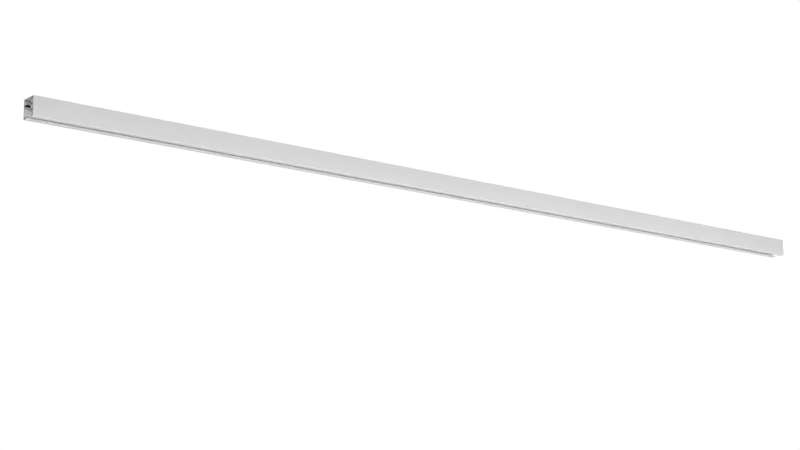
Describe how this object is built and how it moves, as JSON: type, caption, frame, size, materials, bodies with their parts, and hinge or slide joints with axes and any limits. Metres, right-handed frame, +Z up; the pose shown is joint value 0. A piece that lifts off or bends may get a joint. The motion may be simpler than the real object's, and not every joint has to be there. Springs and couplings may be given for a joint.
{
  "type": "lighting track",
  "caption": "Straight surface-mounted lighting track: white aluminium extrusion with a lipped slot underneath, insulating strips with tinned copper conductors and punched fixing slots.",
  "frame": {"origin": "middle of the track's footprint, on the plane of the two lips it stands on", "axes": "+X along the track, +Y across it to the side with the earth strip, +Z up to the face that meets the ceiling"},
  "size_m": [2, 0.0356, 0.0375],
  "materials": {
    "white_coat": "satin",
    "insulator": "matte",
    "tinned_copper": "satin"
  },
  "bodies": {
    "root": {"track_profile": "white_coat", "insulator_front": "insulator", "insulator_back": "insulator", "conductor_front_upper": "tinned_copper", "conductor_front_lower": "tinned_copper", "conductor_back_upper": "tinned_copper", "conductor_back_lower": "tinned_copper", "earth_strip": "tinned_copper"}
  },
  "joints": []
}
